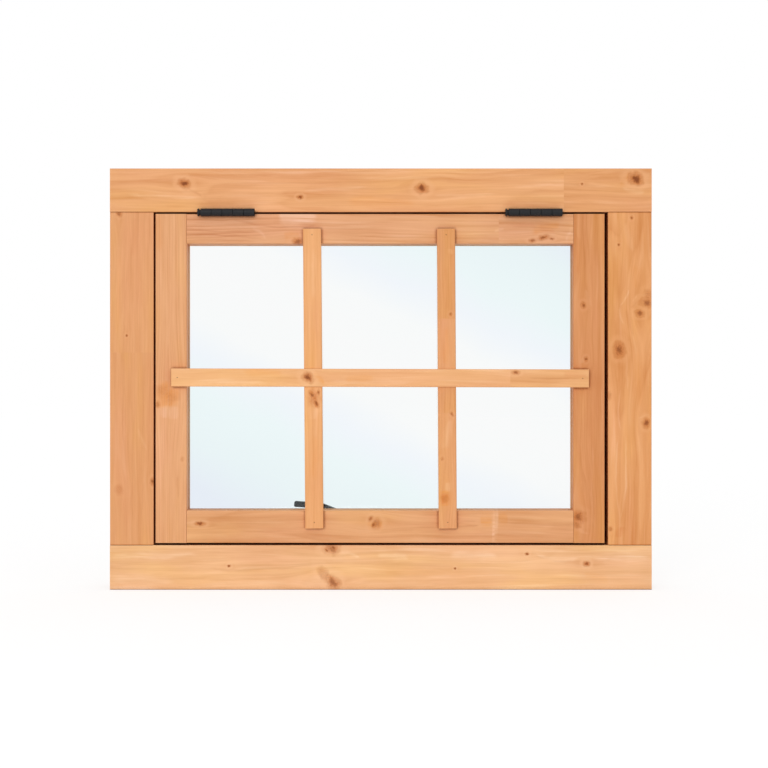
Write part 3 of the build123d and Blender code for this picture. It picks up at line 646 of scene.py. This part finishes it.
railTopLook = {
    "along": "X", "seed": 7.0, "drift": 0.9, "base": (230, 166, 118), "pith": (40.0, 655.0),
    "tilt": (1.4, 1.9), "pitch": 7.0, "wave": 0.040, "contrast": 0.6, "bands": 1.2, "feather": 0.5,
    "lengths": ((196.0, 0.1),),
    "knots": [
        (-138.2, 578.0, 6.4, 1.3, 0, 0.8), (270.0, 585.0, 4.4, 2.2, 14, 0.85),
        (252.0, 580.0, 3.4, 1.8, 0, 0.8), (284.0, 583.0, 2.6, 1.6, 0, 0.8),
    ],
    "streaks": [
        ("pale", (-172, 621), (-104, 621), 1.9, 13.0, 0), ("deep", (-168, 606), (-106, 606), 0.5, 2.4, -4),
        ("warm", (-162, 588), (-134, 584), 0.7, 8.0, 0), ("warm", (250, 596), (300, 606), 0.8, 8.0, 0),
        ("red", (262, 600), (290, 594), 0.4, 6.0, 0), ("pale", (306, 580), (318, 600), 0.5, 6.0, 0),
        ("red", (205, 608), (262, 604), 0.35, 3.0, 0), ("pale", (188, 596), (205, 600), 0.6, 3.0, 0),
        ("deep", (-250, 618), (-150, 602), 0.6, 2.0, -4), ("deep", (-345, 604), (-200, 594), 0.6, 2.0, -4),
        ("deep", (-345, 596), (-180, 588), 0.45, 1.8, -4), ("deep", (-345, 588), (-186, 580), 0.55, 2.0, 4),
        ("deep", (-345, 580), (-200, 578), 0.4, 1.6, 2), ("pale", (-214, 600), (-190, 582), 0.6, 3.4, 3),
    ],
}
dressTimber("sash_rail_top", railTopLook)

railBottomLook = {
    "along": "X", "seed": 8.0, "drift": 0.9, "base": (230, 167, 115), "pith": (75.0, 110.0),
    "tilt": (0.5, 0.9), "pitch": 5.6, "wave": 0.024, "contrast": 0.38, "bands": 1.3, "feather": 0.4,
    "lengths": ((189.0, 0.08),),
    "knots": [
        (-300.5, 110.0, 3.8, 2.2, 0, 0.9), (-8.0, 110.0, 7.6, 1.2, 60, 0.62),
        (-12.0, 108.0, 3.6, 1.4, 60, 0.85), (-17.0, 118.0, 3.6, 1.5, 60, 0.75),
    ],
    "streaks": [
        ("pale", (184, 92), (196, 124), 0.9, 24.0, 0), ("warm", (164, 116), (186, 116), 1.2, 8.0, 0),
        ("warm", (194, 118), (212, 118), 0.9, 8.0, 0), ("warm", (-24, 110), (6, 106), 0.9, 9.0, 0),
        ("deep", (124, 106), (164, 106), 0.8, 1.8, 0), ("deep", (128, 112), (160, 113), 0.5, 1.4, 0),
        ("deep", (-230, 97), (-140, 97), 0.3, 1.4, 0), ("pale", (-285, 110), (-150, 112), 0.3, 4.0, 0),
    ],
}
dressTimber("sash_rail_bottom", railBottomLook)
print("sash dressed")

# Bars and beads
barLeftLook = {
    "along": "Z", "seed": 9.0, "drift": 0.4, "base": (239, 172, 113), "pith": (60.0, -40.0),
    "tilt": (0.3, 0.4), "pitch": 5.0, "wave": 0.010, "contrast": 0.25, "bands": 0.7, "feather": 0.3,
    "swirl": 0.3,
    "knots": [
        (-111.0, 317.0, 11.0, 1.1, 0, 0.4), (-106.5, 310.0, 3.4, 2.4, 25, 0.85),
        (-114.0, 324.0, 3.4, 2.2, 40, 0.8), (-103.0, 328.0, 2.6, 1.8, 0, 0.75),
    ],
    "streaks": [
        ("red", (-106, 300), (-116, 336), 1.3, 6.0, 0), ("red", (-104, 330), (-118, 310), 0.9, 3.0, 0),
        ("pale", (-112, 282), (-108, 304), 0.6, 6.0, 0), ("warm", (-112, 180), (-110, 260), 0.4, 7.0, 0),
        ("pale", (-112, 480), (-111, 570), 0.4, 5.0, 0), ("warm", (-113, 360), (-111, 440), 0.3, 5.0, 0),
        ("deep", (-105, 400), (-107, 540), 0.3, 1.6, 1),
    ],
}
dressTimber("bar_left", barLeftLook)

barRightLook = {
    "along": "Z", "seed": 10.0, "drift": 0.3, "base": (230, 161, 106), "pith": (50.0, 170.0),
    "tilt": (0.5, 0.5), "pitch": 4.2, "wave": 0.016, "contrast": 0.28, "bands": 0.7, "feather": 0.25,
    "lengths": ((294.0, 0.16), (364.0, -0.2), (450.0, 0.14)),
    "knots": [
        (115.6, 457.3, 2.6, 1.2, 0, 0.7), (106.1, 152.0, 6.0, 0.8, 0, 0.4),
        (117.8, 292.0, 2.6, 1.6, 30, 0.7), (101.7, 218.1, 2.6, 1.3, 0, 0.55),
    ],
    "streaks": [
        ("warm", (104, 138), (108, 168), 1.6, 8.0, 0), ("red", (104, 142), (108, 162), 1.0, 7.0, 0),
        ("pale", (110, 162), (112, 180), 0.7, 5.0, 0), ("pale", (104, 232), (116, 286), 0.5, 6.0, 0),
        ("warm", (108, 370), (109, 440), 0.5, 7.0, 0), ("pale", (116, 556), (112, 566), 0.5, 4.0, 0),
        ("red", (106, 460), (108, 540), 0.25, 6.0, 0),
    ],
}
dressTimber("bar_right", barRightLook)

barCrossLook = {
    "along": "X", "seed": 11.0, "drift": 0.5, "base": (240, 178, 121), "pith": (70.0, 380.0),
    "tilt": (0.4, 0.6), "pitch": 5.4, "wave": 0.018, "contrast": 0.34, "bands": 1.2, "feather": 0.5,
    "lengths": ((214.0, 0.06),),
    "knots": [
        (-120.1, 352.1, 7.6, 1.3, -40, 0.95), (222.9, 361.0, 3.6, 1.8, 0, 0.8),
    ],
    "streaks": [
        ("warm", (-230, 362), (-160, 360), 0.6, 5.0, 0), ("warm", (-60, 350), (-10, 352), 0.5, 6.0, 0),
        ("warm", (-112, 360), (-92, 342), 1.0, 5.0, 0), ("pale", (-320, 346), (-180, 345), 0.5, 4.0, 0),
        ("deep", (240, 352), (332, 350), 0.6, 1.6, 0), ("deep", (236, 345), (300, 344), 0.4, 1.4, 0),
        ("red", (300, 356), (342, 354), 0.4, 6.0, 0), ("pale", (-90, 346), (60, 345), 0.4, 3.6, 0),
        ("deep", (-175, 353), (-135, 352), 0.35, 1.6, 0),
    ],
}
dressTimber("bar_cross", barCrossLook)

beadLook = {
    "seed": 12.0, "drift": 0.4, "base": (232, 167, 113), "pith": (40.0, 30.0), "tilt": (0.3, 0.4),
    "pitch": 4.0, "wave": 0.012, "contrast": 0.3, "bands": 0.7, "feather": 0.3, "knots": [],
}
for number, side in enumerate(("top", "bottom", "left", "right")):
    beadName = "glazing_bead_" + side
    along = "X" if side in ("top", "bottom") else "Z"
    sideLook = dict(beadLook, along=along, seed=beadLook["seed"] + number)
    dressTimber(beadName, sideLook)
print("bars and beads dressed")

# Glass: clear, with a painted cool reflection laid into the colour it lets through, deepening towards two
# opposite corners, and a plain reflection. A tint is met twice on the way through, so each face of the pane
# carries its square root.
glassLook = {
    # the painted reflection: its direction across the pane, where the pane is clearest, how far it spreads,
    # its ripple and its tints
    "across": (0.447, 0.0, 0.894),
    "clearAt": 0.345,
    "reach": 0.34,
    "ripple": 0.05,
    "rippleStretch": (7.0, 7.0, 9.0),
    "paintedReflection": (
        (0.0, (250, 251, 251)), (0.22, (249, 251, 251)), (0.38, (242, 247, 252)), (0.55, (237, 248, 249)),
        (0.78, (234, 245, 247)), (1.0, (231, 238, 247)),
    ),
    "roughness": 0.02,
    "mirror": 0.034,
    "slantPower": 5.0,
}


def glassMaterial():
    material, tree, output = newMaterial("glass_pane")
    coords = addNode(tree, "ShaderNodeTexCoord").outputs["Object"]
    ripple = noiseOf(tree, coords, glassLook["rippleStretch"])
    place = vectorOf(tree, "DOT_PRODUCT", coords, glassLook["across"])
    ripple = mathOf(tree, "MULTIPLY", mathOf(tree, "SUBTRACT", ripple, 0.5), glassLook["ripple"])
    place = mathOf(tree, "ADD", place, ripple)
    off = mathOf(tree, "ABSOLUTE", mathOf(tree, "SUBTRACT", place, glassLook["clearAt"]))
    off = mathOf(tree, "DIVIDE", off, glassLook["reach"], clamp=True)
    stops = []
    for where, tint in glassLook["paintedReflection"]:
        stops.append((where, [channel ** 0.5 for channel in screenColour(*tint)[:3]]))
    # painted reflection: the cool tint that the pane lets through stands in for what it would mirror
    tint = rampOf(tree, off, stops)
    through = addNode(tree, "ShaderNodeBsdfTransparent", {"Color": tint})
    mirror = addNode(tree, "ShaderNodeBsdfGlossy", {"Roughness": glassLook["roughness"]})
    # the same share is mirrored at both surfaces, more of it at a slant
    slant = addNode(tree, "ShaderNodeLayerWeight", {"Blend": 0.5}).outputs["Facing"]
    straight, gain = glassLook["mirror"], 1.0 - glassLook["mirror"]
    slanted = mathOf(tree, "POWER", slant, glassLook["slantPower"])
    share = mathOf(tree, "MULTIPLY_ADD", slanted, gain, straight)
    both = addNode(tree, "ShaderNodeMixShader", {0: share, 1: through.outputs[0], 2: mirror.outputs[0]})
    tree.links.new(both.outputs[0], output.inputs[0])
    return material


dress("glass_pane", glassMaterial())

tapeLook = {
    "light": (226, 198, 174), "dark": (204, 174, 148), "grain": 700.0,
    "roughness": 0.85, "bump": 0.2, "bumpDistance": 0.0002,
}


def tapeMaterial():
    material, tree, output = newMaterial("glazing_tape")
    coords = addNode(tree, "ShaderNodeTexCoord").outputs["Object"]
    grains = noiseOf(tree, coords, (tapeLook["grain"],) * 3, 2.0, 0.6)
    colour = mixOf(tree, grains, screenColour(*tapeLook["light"]), screenColour(*tapeLook["dark"]))
    bump = addNode(tree, "ShaderNodeBump", {
        "Height": grains, "Strength": tapeLook["bump"], "Distance": tapeLook["bumpDistance"],
    })
    surface = addNode(tree, "ShaderNodeBsdfPrincipled", {
        "Base Color": colour, "Roughness": tapeLook["roughness"], "Normal": bump.outputs[0],
    })
    tree.links.new(surface.outputs[0], output.inputs[0])
    return material


dress("glazing_tape", tapeMaterial())
print("glass and tape dressed")

# Metal: black powder coat, blacked screws and dull brown nails, their rusty brown darkened as painted shade
# of the sunk holes they sit in
metalLooks = {
    "black_metal": {
        "light": (30, 31, 35), "dark": (14, 15, 17), "grain": 900.0, "patch": 60.0,
        "roughness": (0.42, 0.56), "metallic": 0.0, "specular": 0.3, "bump": 0.25,
    },
    "screw_steel": {
        "light": (52, 52, 54), "dark": (28, 28, 30), "grain": 700.0, "patch": 150.0,
        "roughness": (0.34, 0.46), "metallic": 0.6, "specular": 0.4, "bump": 0.12,
    },
    # nail heads: rust brown, dark enough to stand also as painted shade in their sunk holes
    "nail_steel": {
        "light": (110, 66, 36), "dark": (80, 46, 24), "grain": 900.0, "patch": 300.0,
        "roughness": (0.5, 0.65), "metallic": 0.0, "specular": 0.15, "bump": 0.1,
    },
}

# how the grains and the broader patches of every metal share its tone
metalFigure = {"grains": 0.4, "patches": 0.6, "roughPatch": (0.3, 0.7), "bumpDistance": 0.0001}


def metalMaterial(name):
    look, figure = metalLooks[name], metalFigure
    material, tree, output = newMaterial(name)
    coords = addNode(tree, "ShaderNodeTexCoord").outputs["Object"]
    grains = noiseOf(tree, coords, (look["grain"],) * 3, 2.0, 0.55)
    patches = noiseOf(tree, coords, (look["patch"],) * 3, 2.0, 0.5)
    grainTone = mathOf(tree, "MULTIPLY", grains, figure["grains"])
    patchTone = mathOf(tree, "MULTIPLY", patches, figure["patches"])
    mixed = mathOf(tree, "ADD", grainTone, patchTone)
    colour = mixOf(tree, mixed, screenColour(*look["dark"]), screenColour(*look["light"]))
    bump = addNode(tree, "ShaderNodeBump", {
        "Height": grains, "Strength": look["bump"], "Distance": figure["bumpDistance"],
    })
    rough = stepOf(tree, patches, *figure["roughPatch"], *look["roughness"])
    surface = addNode(tree, "ShaderNodeBsdfPrincipled", {
        "Base Color": colour, "Roughness": rough, "Normal": bump.outputs[0],
        "Metallic": look["metallic"], "Specular IOR Level": look["specular"],
    })
    tree.links.new(surface.outputs[0], output.inputs[0])
    return material


metals = {name: metalMaterial(name) for name in metalLooks}
for row in frame["record"]["subparts"]:
    if row["material_slot"] in metals:
        dress(row["node"], metals[row["material_slot"]])
print("metal dressed")

# Studio: a pale floor, an even white surround, a soft sun from the upper left and a lamp low in front
# that no reflection shows
studio = {
    "floorHalf": 12.0,
    "floorDrop": 0.0004,
    "floorColour": (0.90, 0.36),  # as it lights the window, and as it is seen
    "floorLift": 0.716,
    "surround": 0.80,
    "overhead": -0.08,
    "sun": {"from": (-0.55, -1.5, 0.5), "angle": 22.0, "strength": 0.5},
    "low": {"place": (-0.18, -1.5, 0.08), "aim": (0.0, 0.0, 0.4), "size": 0.4, "power": 3.6},
}


# rays that should see the plain white background: camera, reflections and what glass lets through
def seenRays(tree):
    path = addNode(tree, "ShaderNodeLightPath")
    seen = mathOf(tree, "MAXIMUM", path.outputs["Is Camera Ray"], path.outputs["Is Glossy Ray"])
    return mathOf(tree, "MAXIMUM", seen, path.outputs["Is Transmission Ray"])


def makeFloor():
    half = studio["floorHalf"]
    sheet = bmesh.new()
    bmesh.ops.create_grid(sheet, x_segments=1, y_segments=1, size=half)
    mesh = bpy.data.meshes.new("floor")
    sheet.to_mesh(mesh)
    sheet.free()
    floor = bpy.data.objects.new("floor", mesh)
    floor.location.z = -studio["floorDrop"]
    scene.collection.objects.link(floor)
    material, tree, output = newMaterial("studio_floor")
    lit, seen = [(tone,) * 3 + (1.0,) for tone in studio["floorColour"]]
    plain = addNode(tree, "ShaderNodeBsdfDiffuse", {"Color": mixOf(tree, seenRays(tree), lit, seen)})
    lift = addNode(tree, "ShaderNodeEmission", {
        "Strength": mathOf(tree, "MULTIPLY", seenRays(tree), studio["floorLift"]),
    })
    both = addNode(tree, "ShaderNodeAddShader", {0: plain.outputs[0], 1: lift.outputs[0]})
    tree.links.new(both.outputs[0], output.inputs[0])
    mesh.materials.append(material)


def makeSurround():
    world = bpy.data.worlds.new("surround")
    scene.world = world
    world.use_nodes = True
    tree = world.node_tree
    tree.nodes.clear()
    upward = addNode(tree, "ShaderNodeSeparateXYZ", {
        "Vector": addNode(tree, "ShaderNodeTexCoord").outputs["Generated"],
    }).outputs["Z"]
    light = mathOf(tree, "ADD", mathOf(tree, "MULTIPLY", upward, studio["overhead"]), studio["surround"])
    strength = mathOf(tree, "MAXIMUM", seenRays(tree), light)
    white = addNode(tree, "ShaderNodeBackground", {"Color": (1.0, 1.0, 1.0, 1.0), "Strength": strength})
    output = addNode(tree, "ShaderNodeOutputWorld")
    tree.links.new(white.outputs[0], output.inputs[0])


def makeSun():
    look = studio["sun"]
    lamp = bpy.data.lights.new("sun", "SUN")
    lamp.energy = look["strength"]
    lamp.angle = math.radians(look["angle"])
    holder = bpy.data.objects.new("sun", lamp)
    holder.rotation_euler = (-Vector(look["from"])).to_track_quat("-Z", "Y").to_euler()
    scene.collection.objects.link(holder)


def makeLowLamp():
    look = studio["low"]
    lamp = bpy.data.lights.new("low", "AREA")
    lamp.energy = look["power"]
    lamp.size = look["size"]
    holder = bpy.data.objects.new("low", lamp)
    holder.location = look["place"]
    holder.rotation_euler = (Vector(look["aim"]) - holder.location).to_track_quat("-Z", "Y").to_euler()
    holder.visible_camera = False
    holder.visible_glossy = False
    scene.collection.objects.link(holder)


makeFloor()
makeSurround()
makeSun()
makeLowLamp()

# Camera: straight on, a little under half way up
cameraLook = {"place": (0.0053, -2.2335, 0.3418), "lens": 62.09, "sensor": 36.0}
cameraData = bpy.data.cameras.new("camera")
cameraData.lens = cameraLook["lens"]
cameraData.sensor_width = cameraLook["sensor"]
camera = bpy.data.objects.new("camera", cameraData)
camera.location = cameraLook["place"]
camera.rotation_euler = (math.radians(90), 0.0, 0.0)
scene.collection.objects.link(camera)
bpy.context.scene.camera = camera

scene.view_settings.view_transform = "Standard"
print("studio and camera placed")
